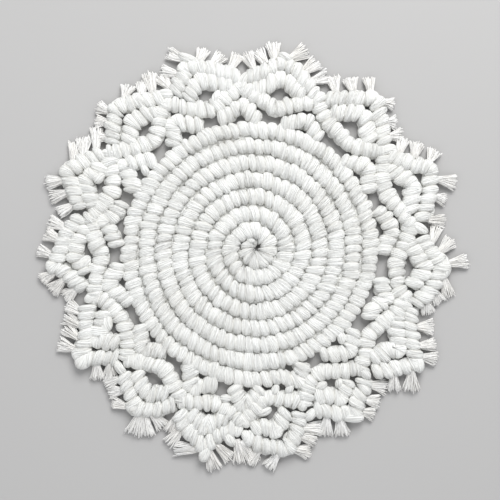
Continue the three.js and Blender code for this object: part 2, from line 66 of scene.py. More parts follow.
# The scallops, clockwise from the one at the top, with points in plan on the middle lines of their rows:
#   join           where its lower row ends and the next scallop's begins
#   lower          the lower row, from the join before to its own join
#   eye            the inner row, which closes the eyelet
#   rim            the rim row, from foot to foot over the tip
#   chevron        the chevron under the join
#   fringe_from    the tufts along the first leg of the rim
#   fringe_to      the tufts along its second leg
# A tuft is its place as a share of the leg, which may lie past the leg's end, its lean from square in
# degrees, anticlockwise positive, and its length.
SCALLOPS = [
    {
        "join": (45.5, 108.5),
        "lower": ((2, 112), (12.5, 106.5), (16.5, 103.5), (27.5, 106.5), (37.5, 108.5)),
        "eye": ((0.5, 116.5), (9.5, 119.5), (16, 123), (20, 125), (26, 121.5), (31, 117.5), (36, 113)),
        "rim": (
            (-3, 125.5), (5, 128.5), (11, 131), (16, 134), (20.5, 136),
            (27, 133), (33, 127), (39.5, 118.5), (44, 112.5),
        ),
        "chevron": ((22, 93), (38, 96.5), (46, 84)),
        "fringe_from": ((0.25, 2, 10.5), (0.6, 8, 9), (0.85, -20, 10.5)),
        "fringe_to": ((0.05, -15, 13.5), (0.45, -8, 12.5), (0.7, -26, 12)),
    },
    {
        "join": (90.5, 74),
        "lower": ((50.5, 98), (59.5, 87), (64, 82), (69.5, 78.5), (81.5, 75)),
        "eye": ((54.5, 101), (65, 101.5), (77, 101), (80, 90.5), (81.5, 80)),
        "rim": ((51.5, 110.5), (67.5, 111), (85.5, 111), (89, 96), (92, 79.5)),
        "chevron": ((63.5, 67.5), (72, 66), (80, 65), (81.5, 58), (80, 47.5)),
        "fringe_from": ((0.2, 10, 10.5), (0.55, 10, 9.5), (0.9, 5, 9)),
        "fringe_to": ((0.1, -20, 7), (0.55, -10, 6), (0.85, -5, 8)),
    },
    {
        "join": (109.5, 24),
        "lower": ((90.5, 61.5), (90.5, 53), (92.5, 46), (97.5, 39.5), (103.5, 32.5)),
        "eye": ((92.5, 62), (102, 58), (112, 52.5), (110.5, 42), (109.5, 31.5)),
        "rim": (
            (94.5, 71), (109.5, 66), (125, 63), (123.5, 54.5), (123.5, 47.5), (120.5, 36.5), (117.8, 26.5),
        ),
        "chevron": ((87.5, 33), (94, 27), (98.5, 20), (94, 12.5), (91, 5)),
        "fringe_from": ((0.2, -5, 9.5), (0.55, 0, 9), (0.9, -15, 7.5)),
        "fringe_to": ((0.19, 0, 12.5), (0.51, -5, 8), (0.97, 8, 10)),
    },
    {
        "join": (106.5, -27.5),
        "lower": ((107.5, 15), (102, 3.5), (99.5, -5), (100.5, -13), (101, -20)),
        "eye": ((108.5, 11), (113, 5.5), (116.5, -1), (120.5, -6), (115.5, -13), (111, -19.5)),
        "rim": (
            (116.5, 14.5), (122.5, 6), (128.5, -1), (132, -4), (128.5, -14), (119.5, -25.5), (112.5, -31),
        ),
        "chevron": ((89, -15), (91, -22), (94, -27.5), (84, -34), (81.5, -40)),
        "fringe_from": ((0.32, 29, 10), (0.67, 4, 10.5), (1.06, -33, 11.5)),
        "fringe_to": ((0.17, -37, 14.5), (0.55, -21, 9.5), (0.77, -44, 9.5)),
    },
    {
        "join": (75, -76),
        "lower": ((100, -36.5), (91, -44), (85.5, -48.5), (80.5, -54), (79.5, -59.5), (78.5, -67)),
        "eye": (
            (99.5, -39.5), (100.5, -46.5), (100.5, -56), (102, -64), (95, -63), (88.5, -66), (82, -68.5),
        ),
        "rim": (
            (109.5, -34), (109, -42), (110.5, -56), (114, -72), (105.5, -74), (94, -76.5), (84, -78),
        ),
        "chevron": ((70, -50.5), (68.5, -64), (63, -65), (56, -66), (49.5, -66.5)),
        "fringe_from": ((0.35, -9, 9), (0.7, 0, 9), (0.9, -15, 9)),
        "fringe_to": ((0.15, -10, 12.5), (0.55, -10, 10.5)),
    },
    {
        "join": (36.5, -100),
        "lower": ((64, -77), (54, -77.5), (47, -78.5), (41.5, -83), (38.5, -89)),
        "eye": ((66, -84), (65, -89), (62, -96.5), (54, -95), (47, -94.5), (43.5, -94)),
        "rim": (
            (77.5, -83.5), (77.5, -89.5), (73, -96), (73, -107), (62, -106.5), (51, -105), (43.5, -104),
        ),
        "chevron": ((34.5, -74), (34.5, -84), (24, -83.5)),
        "fringe_from": ((0.13, 1, 10.5), (0.55, -2, 8), (0.92, -4, 6.5)),
        "fringe_to": ((0.4, 15, 11), (0.7, 0, 12)),
    },
    {
        "join": (-7, -112.5),
        "lower": ((29.5, -97.5), (23, -97), (12.5, -96), (7.5, -97.5), (3, -103.5), (-2, -108.5)),
        "eye": ((24, -105.5), (20.5, -111), (16.5, -118), (8.5, -116.5), (0, -117.5)),
        "rim": (
            (32.5, -106.5), (32.5, -114), (28.5, -125), (24, -132), (10, -129.5), (3.5, -127), (-3.5, -123),
        ),
        "chevron": ((5, -90.5), (1, -96.5), (-5.5, -102), (-9.5, -96), (-12, -89)),
        "fringe_from": ((0.35, 15, 13.5), (0.55, 0, 11.5), (0.93, 3, 10.5)),
        "fringe_to": ((0.15, -18, 11.5), (0.6, -20, 12), (1.1, 50, 15.5), (1.22, 30, 15)),
    },
    {
        "join": (-49.5, -98),
        "lower": ((-12, -109), (-18, -104), (-25.5, -99.8), (-33, -99), (-41, -98.8)),
        "eye": ((-17, -111.5), (-25, -112), (-32.5, -118), (-37, -113), (-42, -105.5)),
        "rim": (
            (-12.5, -116.5), (-23, -121.5), (-33, -129.5), (-38, -125.5),
            (-42, -120.5), (-46.5, -115), (-50.5, -106),
        ),
        "chevron": ((-26, -86), (-42, -89.5), (-43.5, -73)),
        "fringe_from": ((0.7, 12, 12.5), (0.95, -15, 12.5)),
        "fringe_to": ((0, -36, 15.5), (0.67, 15, 14), (0.94, 35, 10)),
    },
    {
        "join": (-87, -69),
        "lower": ((-50.5, -92.5), (-54, -87), (-59.5, -77.5), (-65.5, -74), (-72.5, -71.5)),
        "eye": ((-58, -92.5), (-65.5, -93), (-73, -94), (-78, -85), (-80, -78)),
        "rim": (
            (-54, -99.5), (-65.5, -104), (-74, -104), (-82, -103.5), (-82, -97.5), (-87, -85.5), (-89, -79.5),
        ),
        "chevron": ((-61.5, -63.5), (-76.5, -63), (-77.5, -47.5)),
        "fringe_from": ((0.6, 30, 12), (0.76, 0, 14.5), (0.87, -30, 13.5)),
        "fringe_to": ((0.1, -30, 9), (0.55, -10, 8.5), (0.9, 5, 9.5)),
    },
    {
        "join": (-109, -25),
        "lower": ((-86, -63), (-86, -56), (-87, -49.5), (-90.5, -39.5), (-99.5, -30.5)),
        "eye": ((-92.5, -58), (-100.5, -56.5), (-108.5, -56), (-106.5, -49.5), (-103.5, -43), (-102, -36)),
        "rim": (
            (-93, -68), (-101.5, -68.5), (-119.5, -68.5), (-116, -58.5),
            (-114.5, -51), (-115, -43), (-113, -32.5),
        ),
        "chevron": ((-85, -29.5), (-99.5, -18.5), (-92.5, -5)),
        "fringe_from": ((0.2, -5, 10.5), (0.55, 0, 9.5)),
        "fringe_to": ((0.15, -5, 10.5), (0.35, -30, 9.5), (0.6, -20, 10), (0.85, -15, 10.5)),
    },
    {
        "join": (-112.5, 27.5),
        "lower": ((-108.5, -18.5), (-106.5, -7.5), (-104, 3), (-107, 9), (-110.5, 20.5)),
        "eye": ((-115, -9.5), (-123, 1.5), (-122, 9), (-118.5, 16), (-114.5, 23)),
        "rim": (
            (-116, -20), (-121.5, -15), (-132.5, -7), (-138, -4),
            (-134, 3), (-129, 15), (-125.5, 20.5), (-118.5, 29),
        ),
        "chevron": ((-93.5, 10.5), (-98, 19), (-103.5, 26.5), (-95, 30.5), (-90, 37.5)),
        "fringe_from": ((0.15, -15, 9.5), (0.55, -12, 10.5), (0.85, -25, 9)),
        "fringe_to": ((0.14, 10, 9), (0.45, 5, 10), (0.7, 8, 12)),
    },
    {
        "join": (-98.5, 74),
        "lower": ((-107, 33), (-99, 42.5), (-96, 47.5), (-96.5, 60), (-98.5, 68.5)),
        "eye": ((-108.5, 36), (-111.5, 41.5), (-116, 53), (-113, 58), (-107, 61), (-103.5, 65.5)),
        "rim": ((-118.5, 35), (-122, 42), (-123, 47.5), (-128.5, 60.5), (-120, 65), (-103.5, 73)),
        "chevron": ((-82, 48), (-85, 58), (-89.5, 66), (-68.5, 68.5)),
        "fringe_from": ((0.15, 5, 10.5), (0.5, -5, 11.5), (0.82, -13, 11)),
        "fringe_to": ((0.25, -30, 12), (0.55, -25, 12), (0.9, -25, 14)),
    },
    {
        "join": (-59.5, 107.5),
        "lower": ((-86, 76), (-79.5, 77.5), (-72.5, 79.5), (-67.5, 83), (-65, 89), (-63, 100.5)),
        "eye": ((-85, 80), (-84, 88.5), (-83, 95), (-74.5, 99.5), (-65, 101.5)),
        "rim": ((-96.5, 80), (-96, 94.5), (-94.5, 105.5), (-85.5, 107.5), (-69, 110), (-61.5, 111)),
        "chevron": ((-54.5, 80), (-54.5, 95), (-36, 92.5)),
        "fringe_from": ((0.15, 0, 7.5), (0.55, -5, 8), (0.85, -20, 7.5)),
        "fringe_to": ((0.2, -25, 9), (0.55, -15, 9), (0.8, 0, 13.5)),
    },
    {
        "join": (-7.5, 119.5),
        "lower": ((-54, 106.5), (-47, 105), (-31.5, 103), (-26, 105), (-20, 110.5), (-14, 115)),
        "eye": ((-44, 109.5), (-39.5, 120), (-36, 124), (-27, 123), (-14, 119.5)),
        "rim": ((-53, 114.5), (-47.5, 127), (-46, 133), (-36, 132.5), (-17, 127.5), (-9, 125)),
        "chevron": ((-21.5, 96.5), (-8.5, 107.5), (3.5, 96.5)),
        "fringe_from": ((0.1, -30, 10), (0.65, 10, 9.5), (1.22, -5, 9.5)),
        "fringe_to": ((0.2, -10, 9.5), (0.45, -30, 10), (0.8, -15, 11)),
    },
]


# The rows of a scallop, in the order of their seeds: how wide each is as a share of the full width, how far
# it runs on past its first and last points, and its slants before and after its corner as shares of the
# usual.
ROWS = {
    "lower": {"width": 1.0, "overrun": 2.5, "slants": (0.1, -0.3)},
    "eye": {"width": 1.08, "overrun": 1, "slants": (1, -1)},
    "rim": {"width": 1.0, "overrun": 1, "slants": (1, -1)},
    "chevron": {"width": 1.02, "overrun": 2.5, "slants": (1, -1)},
}
# A row's bend begins one reach before a corner and ends one after it, and is worked out in so many points.
# The whole line is then laid out afresh, with points one step apart.
BEND = {"reach": 5, "points": 16, "step": 0.5}

# How the rows are knotted:
#   pitch                      the room of one wrap along the row
#   half_width, half_height    half of the wrap's size across the row
#   side_dip, top_dip          how deep the creases between wraps go at the sides and on top, as shares of the
#                              wrap's half size there
#   slant, slant_spread        how far the creases lean from square to the row, in degrees, and its spread
#   lean                       how far the strands lean beyond that, as a slope
#   uneven                     the spread of the wraps' sizes
#   along, round               how many points a wrap has along the row and round it
#   raised                     how high the row lies above the table
SPIRAL_KNOTS = {
    "pitch": 6.07, "half_width": 6.05, "half_height": 5.0, "side_dip": 0.28, "top_dip": 0.15, "slant": -9.0,
    "slant_spread": 5.0, "lean": -0.08, "uneven": 0.045, "along": 8, "round": 24, "raised": 0.0,
}
BORDER_KNOTS = {
    "pitch": 6.05, "half_width": 6.05, "half_height": 5.1, "side_dip": 0.32, "top_dip": 0.2, "slant": 15.0,
    "slant_spread": 4.5, "lean": 0.1, "uneven": 0.055, "along": 10, "round": 24, "raised": 0.0,
}
# Low under the rows of the border, and deep between two turns of the centre, the cords cross from one row to
# the next.
CROSSING_CORDS = {
    "pitch": 6.7, "half_width": 6.0, "half_height": 2.4, "side_dip": 0.2, "top_dip": 0.2, "slant": 0.0,
    "slant_spread": 5.0, "lean": 0.0, "uneven": 0.07, "along": 5, "round": 16, "raised": 0.7,
}
VALLEY_CORDS = {
    "pitch": 6.07, "half_width": 2.7, "half_height": 2.5, "side_dip": 0.2, "top_dip": 0.3, "slant": 0.0,
    "slant_spread": 8.0, "lean": 0.0, "uneven": 0.1, "along": 4, "round": 10, "raised": 0.3,
}

# What the wraps of all rows have in common:
#   squareness                 the power of the cosine and the sine in a wrap's oval
#   belly                      how much deeper the oval reaches below its middle than above it
#   sole                       how softly the table presses it, in millimetres
#   crowding                   the share of its room that a crowded wrap gives up
#   room_spread, room_range    the spread of the wraps' rooms, in times uneven, and their least and most
#   turnover                   the share of a wrap, at each end, where its values turn to the next one's
#   beside                     the spread of how far a wrap sits beside the line, in millimetres
#   lump                       the most that each lump adds to or takes from a wrap's size, as a share
#   bow                        the spread of how far a crease bows along the row, as a share of the square of
#                              its way out to the side
#   dip_spread, dip_range      the spread of the creases' depths, in times the dips, and their least and most
#   corner                     how near to a row's corner the slant begins to turn, in millimetres
#   lean_spread                the spread of the strands' lean
#   pattern                    the length of the cord's pattern from which each wrap takes a stretch
WRAPS = {
    "squareness": 0.92, "belly": 1.15, "sole": 0.7, "crowding": 0.35, "room_spread": 2.2,
    "room_range": (0.75, 1.3), "turnover": 0.12, "beside": 0.35, "lump": 0.03, "bow": 0.014,
    "dip_spread": 0.25, "dip_range": (0.5, 1.5), "corner": 4, "lean_spread": 0.08, "pattern": 400,
}
# How much shade is painted into a point's colour, from 0 to 1, for the shade that falls in the creases
# between wraps and low on the row's sides. Past the share crease_from of the way from a wrap's middle to
# its end, that grows to crease times the crease's own depth. To it comes weight times how far the point
# lies below the share low_from of the row's height, of which no more than low_most counts. The outer
# half of an end wrap has only the last, unweighted.
PAINTED_SHADE = {"crease": 0.35, "crease_from": 0.5, "low_from": 0.62, "low_most": 0.6, "weight": 1.4}

# Knots of their own, where rows meet, at some tips and in gaps, for each scallop by its number: a row of
#   place in plan, length along the wrap, width, and the turn of its long side from +X in degrees
LONE_KNOTS = {
    1: (((45.5, 111), 11.5, 8, 60), ((-6, 124), 11, 7, 90), ((22.5, 139.5), 10, 7, 0)),
    2: (((92.5, 75), 14, 9, 40),),
    3: (((115.5, 21.5), 13.5, 8, -6), ((111, 50), 12, 9.5, 20)),
    4: (
        ((130.5, -3), 18, 14, -28), ((105.5, -27), 10.5, 9.5, 0),
        ((90.5, -29), 15, 7.5, 25), ((83.5, -34.5), 13, 10.5, 40),
    ),
    5: (((76.8, -77.5), 15, 7.5, -36), ((115, -72.5), 12, 9, -45), ((62, -54.5), 10, 7, -50)),
    6: (
        ((48, -87.5), 9, 7, 60), ((60.5, -86), 8, 6.5, 100),
        ((70, -109), 14, 9, 20), ((40.5, -107.5), 11, 8, 90),
    ),
    7: (
        ((-9.5, -118), 11.5, 7, 90), ((-3.5, -123), 10, 7.5, -30), ((16.5, -118), 13, 10.5, 60),
        ((16, -91), 7.5, 6, 90), ((9, -105.5), 10, 6.5, 50), ((26, -89), 8, 6, 90),
    ),
    8: (
        ((-32.5, -134), 13, 8.5, 90), ((-32, -114), 13, 7.5, 85),
        ((-15, -125), 13, 8, -40), ((-17.5, -96), 8, 6, 30),
    ),
    10: (
        ((-110, -26.5), 12.5, 9, 45), ((-116, -69), 15, 13, 80),
        ((-101.5, -43.5), 15, 11, 108), ((-92, -75), 12, 7, -30),
    ),
    11: (((-116.5, -2.5), 12, 10, 70),),
    12: (((-105.5, 57), 10, 7.5, 80), ((-74, 61.5), 9, 6.5, -30)),
    13: (((-60, 114), 12, 8, 20),),
    14: (((-25, 111), 10.5, 7, 100), ((-44, 138.5), 13, 7, 0)),
}

# The fringe: each tuft is a brush of threads in clumps round a matted core, and it droops and spreads from
# its root. w runs from 0 at the root to 1 at the edge.
#   root_offset                  how far outside the rim's middle line the root lies
#   longer, hidden               a tuft is its length in the table times the one, plus the other in its row
#   ..._half_width, ..._half_height, ..._middle
#                                the brush's section at its root and its end, and how high its middle lies
#   opening                      the power of w with which the width opens
#   fullness                     the least and the most of the end's half width that a tuft gets
#   edge_turn                    how far the tuft's edge is rounded, as an angle at its sides
#   core, core_length            the share of the section that the core fills, and the least and the most of
#                                the length
#   upper_clumps, lower_clumps, threads_in_clump
#                                how many threads lie in the brush, and where
#   lower_reach                  how far to the sides the lower clumps lie, as a share of the half width
#   clump_height                 the least and the most of the oval's height at which a clump lies
#   thread                       how thick a thread is
#   core_sides, thread_sides     how many points lie round the core and round a thread
#   pattern                      the length of the threads' pattern from which each takes a stretch
FRINGE = {
    "root_offset": 4.0, "longer": 1.08, "hidden": 0.8, "root_half_width": 1.9, "end_half_width": 5.2,
    "root_half_height": 2.0, "end_half_height": 1.5, "root_middle": 5.0, "end_middle": 2.4, "opening": 1.3,
    "fullness": (0.8, 1.12), "edge_turn": 0.3, "core": 0.85, "core_length": (0.62, 0.9),
    "upper_clumps": 12, "lower_clumps": 5, "threads_in_clump": 4, "lower_reach": 0.9,
    "clump_height": (0.75, 1.05), "thread": 0.52, "core_sides": 24, "thread_sides": 5, "pattern": 40,
}
# How uneven the threads are: the spreads of a clump's and a thread's place across the brush and of a
# thread's height in it, of a clump's and a thread's length, all as shares, of a thread's two swings to the
# side and one up, in millimetres, and of its thickness, as a share.
THREAD_SPREADS = {
    "clump_across": 0.04, "across": 0.04, "height": 0.12, "clump_length": 0.05, "length": 0.04, "swing": 0.3,
    "wave": 0.15, "rise": 0.25, "thickness": 0.15,
}
# The last number of a seed is counted on from here, for the rows, the low cords under them and lone knots.
SEEDS = {"row": 2, "crossing": 12, "lone": 22}


def way_along(line):
    """How far along the line each of its points lies, in plan."""
    return np.concatenate([[0], np.cumsum(np.linalg.norm(np.diff(line[:, :2], axis=0), axis=1))])


def evenly(line, step):
    """The same line with its points about one step apart in plan, by linear interpolation over its own
    length, and so with whatever else each point has beside its place."""
    gone = way_along(line)
    wanted = np.linspace(0, gone[-1], max(3, round(gone[-1] / step) + 1))
    return np.stack([np.interp(wanted, gone, column) for column in line.T], axis=1)


def rounded(corners, overrun):
    """The line along the corner points, which runs on past both ends by the overrun. Round each inner
    corner it follows the quadratic curve that starts a bend's reach before the corner, is pulled towards it
    and ends a reach after it, or half way to the next corner where that is nearer."""
    corners = np.array(corners, float)
    for end, inner in ((0, 1), (-1, -2)):
        out = corners[end] - corners[inner]
        corners[end] += overrun * out / np.linalg.norm(out)
    stretches = [corners[:1]]
    share = np.linspace(0, 1, BEND["points"])[:, None]
    for before, corner, after in zip(corners, corners[1:], corners[2:]):
        back, on = before - corner, after - corner
        start = corner + back * min(0.5, BEND["reach"] / np.linalg.norm(back))
        end = corner + on * min(0.5, BEND["reach"] / np.linalg.norm(on))
        stretches.append((1 - share) ** 2 * start + 2 * share * (1 - share) * corner + share**2 * end)
    stretches.append(corners[-1:])
    return evenly(np.concatenate(stretches), BEND["step"])


def spiral_line(first_turn, last_turn, beside=0.0):
    """The middle line of the spiral's row, or a line beside it, outwards by a share of the row's width, and
    how wide the row is there as a share of the pitch. At t turns the row lies between an inner and an outer
    valley, t - 1/2 and t + 1/2 pitches from the middle, at the end angle less 360 degrees for each turn
    that is left. At the start the inner valley is drawn in to the pinch, an ellipse of the slit's half
    length and half width, by a share that fades from 1 to 0 as a smooth step."""
    turns = np.linspace(first_turn, last_turn, int(SPIRAL["points"] * (last_turn - first_turn)))
    angle = np.radians(SPIRAL["end_angle"] + 360 * (turns - SPIRAL["turns"]))
    outward = np.stack([np.cos(angle), np.sin(angle)], axis=1)
    middle, pinch, slit = (np.array(SPIRAL[key]) for key in ("middle", "pinch", "slit"))
    outer = middle + SPIRAL["pitch"] * (turns + 0.5)[:, None] * outward
    inner = middle + SPIRAL["pitch"] * np.maximum(turns - 0.5, 0)[:, None] * outward

    half_length, half_width = np.linalg.norm(slit), SPIRAL["slit_half_width"]
    along = slit / half_length
    edge = pinch + half_width * outward + (half_length - half_width) * (outward @ along)[:, None] * along
    ease = np.clip((turns - SPIRAL["drawn_in"]) / SPIRAL["eased"], 0, 1)[:, None]
    inner = inner + (1 - ease**2 * (3 - 2 * ease)) * (edge - inner)

    line = (inner + outer) / 2 + beside * (outer - inner)
    wide = np.linalg.norm(outer - inner, axis=1) / SPIRAL["pitch"]
    return evenly(np.column_stack([line, wide]), SPIRAL["step"])


def tubes(grid, painted_shade, room_round, wraps, lean=0.0):
    """Closed tubes over a grid of points: tube, station along it, sample round it. The first and the last
    station of a tube are drawn together to a pole. The shade painted at each point, for its place in the
    creases and low on the row, runs from 0 to 1.
    The pattern's first coordinate is the way round, room_round in all, and its second is the way along that
    wraps gives for the start and end of each stretch between stations, plus lean times the way round."""
    count, stations, sides, _ = grid.shape
    rings = np.arange(count * (stations - 2) * sides).reshape(count, stations - 2, sides)
    poles = np.broadcast_to(rings.size + np.arange(2 * count).reshape(count, 2, 1), (count, 2, sides))
    onward = np.roll(rings, -1, axis=2)
    quads = np.stack([rings[:, :-1], onward[:, :-1], onward[:, 1:], rings[:, 1:]], axis=-1)
    first = np.stack([poles[:, 0], onward[:, 0], rings[:, 0]], axis=-1)
    last = np.stack([poles[:, 1], rings[:, -1], onward[:, -1]], axis=-1)

    way = np.linspace(0, room_round, sides + 1)
    lean = np.broadcast_to(lean, (count, stations - 1))[:, :, None, None]
    along = wraps[:, :, :, None] + lean * (way - room_round / 2)
    way = np.broadcast_to(way, along.shape)
    near, far = np.stack([way, along], axis=-1)[:, :, 0], np.stack([way, along], axis=-1)[:, :, 1]
    quad_map = np.stack([near[:, 1:-1, :-1], near[:, 1:-1, 1:], far[:, 1:-1, 1:], far[:, 1:-1, :-1]], axis=-2)
    first_map = np.stack([near[:, 0, :-1], far[:, 0, 1:], far[:, 0, :-1]], axis=-2)
    last_map = np.stack([far[:, -1, :-1], near[:, -1, :-1], near[:, -1, 1:]], axis=-2)
    ends = grid[:, [0, -1]].mean(axis=2)
    ends_painted_shade = painted_shade[:, [0, -1]].mean(axis=2)
    return {
        "points": np.concatenate([grid[:, 1:-1].reshape(-1, 3), ends.reshape(-1, 3)]),
        "painted_shade": np.concatenate([painted_shade[:, 1:-1].ravel(), ends_painted_shade.ravel()]),
        "quads": quads.reshape(-1, 4),
        "fans": np.concatenate([first, last]).reshape(-1, 3),
        "quad_map": quad_map.reshape(-1, 2),
        "fan_map": np.concatenate([first_map, last_map]).reshape(-1, 2),
    }


def joined(parts):
    """Several surfaces as one, with the faces of each counted on from the points before it."""
    before = np.cumsum([0] + [len(part["points"]) for part in parts])
    whole = {}
    for key in ("points", "painted_shade", "quad_map", "fan_map"):
        whole[key] = np.concatenate([part[key] for part in parts])
    for key in ("quads", "fans"):
        whole[key] = np.concatenate([part[key] + shift for part, shift in zip(parts, before)])
    return whole


def wrap_borders(length, wraps, crowded, uneven, draw):
    """Where along the row each wrap begins and the last one ends. The wraps' rooms are drawn, and those of
    the first few, crowded, are less. That fades over the two wraps after them, which in a row without any
    are its first two."""
    rooms = np.clip(1 + WRAPS["room_spread"] * uneven * draw.standard_normal(wraps), *WRAPS["room_range"])
    rooms = rooms * (1 - WRAPS["crowding"] * np.clip((crowded + 2 - np.arange(wraps)) / 3, 0, 1))
    return np.concatenate([[0], np.cumsum(rooms)]) * length / rooms.sum()


def course(line, gone, place):
    """The line at places along it: its points in plan, and the directions along it and square to it."""
    along = np.gradient(line[:, :2], gone, axis=0)
    along /= np.linalg.norm(along, axis=1)[:, None]
    centre = np.stack([np.interp(place, gone, line[:, axis]) for axis in (0, 1)], axis=1)
    along = np.stack([np.interp(place, gone, along[:, axis]) for axis in (0, 1)], axis=1)
    return centre, along, np.stack([-along[:, 1], along[:, 0]], axis=1)


def strand_stretches(station, facing, knots, draw):
    """For each stretch between stations, where it starts and ends in the cord's pattern, in which each wrap
    has a place of its own, and how far its strands lean."""
    wraps = len(facing) - 1
    wrap = np.minimum(np.floor(station[:-1]), wraps - 1).astype(int)
    start = station[:-1] - wrap
    end = np.append(start[1:], 1)
    end = np.where(end <= start, 1, end)
    offset = draw.uniform(0, WRAPS["pattern"], wraps)[wrap]
    lean = (knots["lean"] * facing[1:] + WRAPS["lean_spread"] * draw.standard_normal(wraps))[wrap]
    return np.stack([offset + knots["pitch"] * start, offset + knots["pitch"] * end], axis=-1), lean


def knotted_row(line, knots, seed, wraps=None, crowded=0, slants=(1, 1)):
    """A row of wraps round its filler cord, as one closed surface along the line, whose third column, if it
    has one, is how wide the row is as a share of its usual width.
    Across the line a wrap is a soft oval, side = half width * cosine ** squareness and rise = half height *
    sine ** squareness, with the rise times belly below the middle, and its size round the oval goes up and
    down by lumps, sines and cosines of twice and three times the angle. The table presses its sole: a
    height h becomes (h + sqrt(h ** 2 + sole ** 2)) / 2. Along the line, at v from -1 to 1 over each wrap,
    the oval is scaled by 1 - dip * |v| ** 3, and by sqrt(1 - v ** 2) over the outer halves of the two end
    wraps, which close round. Each wrap has its own room, size, place beside the line and lumps, and each
    crease its own slant, depth and bow, drawn from the seed. The first few wraps may be crowded, with less
    room along the line. The slants are shares of the usual slant: one up to the corner of the row, its
    farthest point from the middle of the mat, and one after it."""
    draw = np.random.default_rng(seed)
    gone = way_along(line)
    wraps = wraps or max(1, round(gone[-1] / knots["pitch"] + WRAPS["crowding"] * crowded))
    samples, sides, uneven = knots["along"], knots["round"], knots["uneven"]
    borders = wrap_borders(gone[-1], wraps, crowded, uneven, draw)

    number = np.arange(wraps)
    local = (1 - np.cos(np.pi * np.arange(samples) / samples)) / 2
    station = np.append((number[:, None] + local).ravel(), wraps)
    place = np.interp(station, np.arange(wraps + 1), borders)
    held = np.sort(np.concatenate([number + WRAPS["turnover"], number + 1 - WRAPS["turnover"]]))

    def per_wrap(values):
        """One value for each wrap, held over the wrap and turned to the next one's in the crease."""
        return np.interp(station, held, np.repeat(values, 2))

    def per_crease(values):
        """One value for each crease, turned to the next one's over the wrap."""
        return np.interp(station, np.arange(wraps + 1), values)

    width = per_wrap(1 + uneven * draw.standard_normal(wraps))
    tall = per_wrap(1 + uneven * draw.standard_normal(wraps))
    beside = per_wrap(WRAPS["beside"] * draw.standard_normal(wraps))
    corner = gone[np.argmax(np.linalg.norm(line[:, :2], axis=1))]
    facing = np.interp(borders, [corner - WRAPS["corner"], corner + WRAPS["corner"]], slants)
    slant = knots["slant"] * facing + knots["slant_spread"] * draw.standard_normal(wraps + 1)
    slant = np.tan(np.radians(per_crease(slant)))
    bow = per_crease(WRAPS["bow"] * draw.standard_normal(wraps + 1))
    deep = 1 + WRAPS["dip_spread"] * draw.standard_normal(wraps + 1)
    deep = per_crease(np.clip(deep, *WRAPS["dip_range"]))
    lump = np.stack([per_wrap(draw.uniform(-WRAPS["lump"], WRAPS["lump"], wraps)) for _ in range(4)])

    around = 2 * np.pi * np.arange(sides) / sides
    cosine, sine = np.cos(around), np.sin(around)
    v = np.clip(2 * (station - np.floor(station)) - 1, -1, 1)
    v[-1] = 1
    dip = (knots["top_dip"] + (knots["side_dip"] - knots["top_dip"]) * cosine**2) * deep[:, None]
    is_end = (station < 0.5) | (station > wraps - 0.5)
    scale = np.where(is_end[:, None], np.sqrt(1 - v**2)[:, None], 1 - dip * np.abs(v)[:, None] ** 3)
    scale = scale * (
        1 + lump[0][:, None] * np.sin(2 * around) + lump[1][:, None] * np.cos(2 * around)
        + lump[2][:, None] * np.sin(3 * around) + lump[3][:, None] * np.cos(3 * around)
    )

    wide = np.interp(place, gone, line[:, 2]) if line.shape[1] > 2 else np.ones_like(place)
    oval_side, oval_rise = (np.sign(wave) * np.abs(wave) ** WRAPS["squareness"] for wave in (cosine, sine))
    side = knots["half_width"] * (wide * width)[:, None] * scale * oval_side
    rise = knots["half_height"] * tall[:, None] * scale * oval_rise
    lift = knots["half_height"] + np.where(rise < 0, WRAPS["belly"] * rise, rise)
    centre, along, square = course(line, gone, place)
    shift = slant[:, None] * side + bow[:, None] * side**2
    flat = centre[:, None] + square[:, None] * (side + beside[:, None])[..., None]
    flat = flat + along[:, None] * shift[..., None]
    height = knots["raised"] + (lift + np.sqrt(lift**2 + WRAPS["sole"] ** 2)) / 2
    grid = np.concatenate([flat, height[..., None]], axis=-1)

    # Shade painted into the colour: darker and creamier in the creases between wraps and low on the row's
    # sides, where shade falls.
    crease = np.clip((np.abs(v) - PAINTED_SHADE["crease_from"]) / (1 - PAINTED_SHADE["crease_from"]), 0, 1)
    low = np.clip(PAINTED_SHADE["low_from"] - lift / (2 * knots["half_height"]), 0, PAINTED_SHADE["low_most"])
    painted_shade = np.clip((PAINTED_SHADE["crease"] * crease**2 * deep)[:, None] + PAINTED_SHADE["weight"] * low, 0, 1)
    painted_shade[is_end] = low[is_end]
    strand, lean = strand_stretches(station, facing, knots, draw)
    room_round = np.pi * (knots["half_width"] + knots["half_height"])
    return tubes(grid[None], painted_shade[None], room_round, strand[None], lean[None])


def lone_knot(place, length, width, turn, knots, seed):
    """One wrap by itself, its long side turned from +X by the angle: a row of one wrap on a short straight
    line across its long side, as wide as the wrap is long."""
    turn = np.radians(turn)
    across = np.array([-np.sin(turn), np.cos(turn)]) * width / 2
    points = 12
    line = np.linspace(np.array(place) - across, np.array(place) + across, points)
    line = np.column_stack([line, np.full(points, length / 2 / knots["half_width"])])
    return knotted_row(line, knots, seed, wraps=1)


def centre():
    """The spiral's row, the low cords along the valley between its turns and the low knot in its middle."""
    start, end = SPIRAL["first_turn"], SPIRAL["turns"]
    row = knotted_row(spiral_line(start, end), SPIRAL_KNOTS, seed=1, crowded=SPIRAL["crowded_knots"])
    valley_line = spiral_line(SPIRAL["valley_from"], end, beside=-0.5)[:, :2]
    valley = knotted_row(valley_line, VALLEY_CORDS, seed=2)
    heart = lone_knot(*SPIRAL["heart"], CROSSING_CORDS, seed=3)
    return joined([row, valley, heart])


